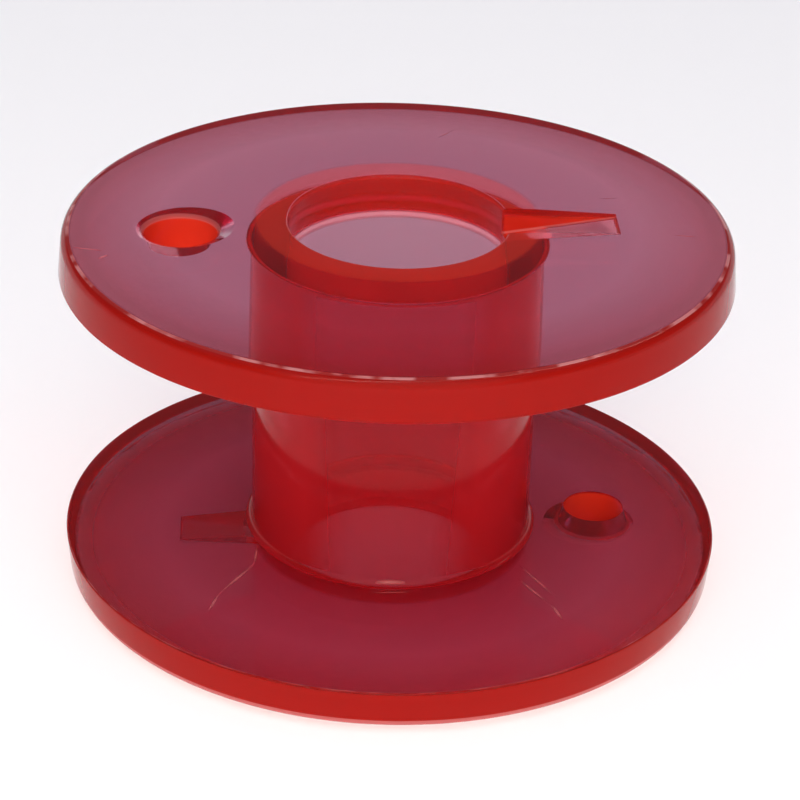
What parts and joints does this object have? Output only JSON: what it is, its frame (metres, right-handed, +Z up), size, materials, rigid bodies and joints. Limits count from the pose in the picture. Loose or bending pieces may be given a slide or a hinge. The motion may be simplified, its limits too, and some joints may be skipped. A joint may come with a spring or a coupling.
{
  "type": "sewing machine bobbin",
  "caption": "Clear red plastic sewing machine bobbin: a bored hub between two flanges, each with a thread hole and a ramped driving notch.",
  "frame": {"origin": "on the bore's axis, in the plane of the lower hub end that the bobbin stands on", "axes": "+Z up along the bore; +X from the upper flange's thread hole to the bore, on towards its driving notch"},
  "size_m": [0.0202, 0.0202, 0.0116],
  "materials": {
    "clear_red_plastic": "gloss, see-through red"
  },
  "bodies": {
    "root": {"bobbin": "clear_red_plastic"}
  },
  "joints": []
}
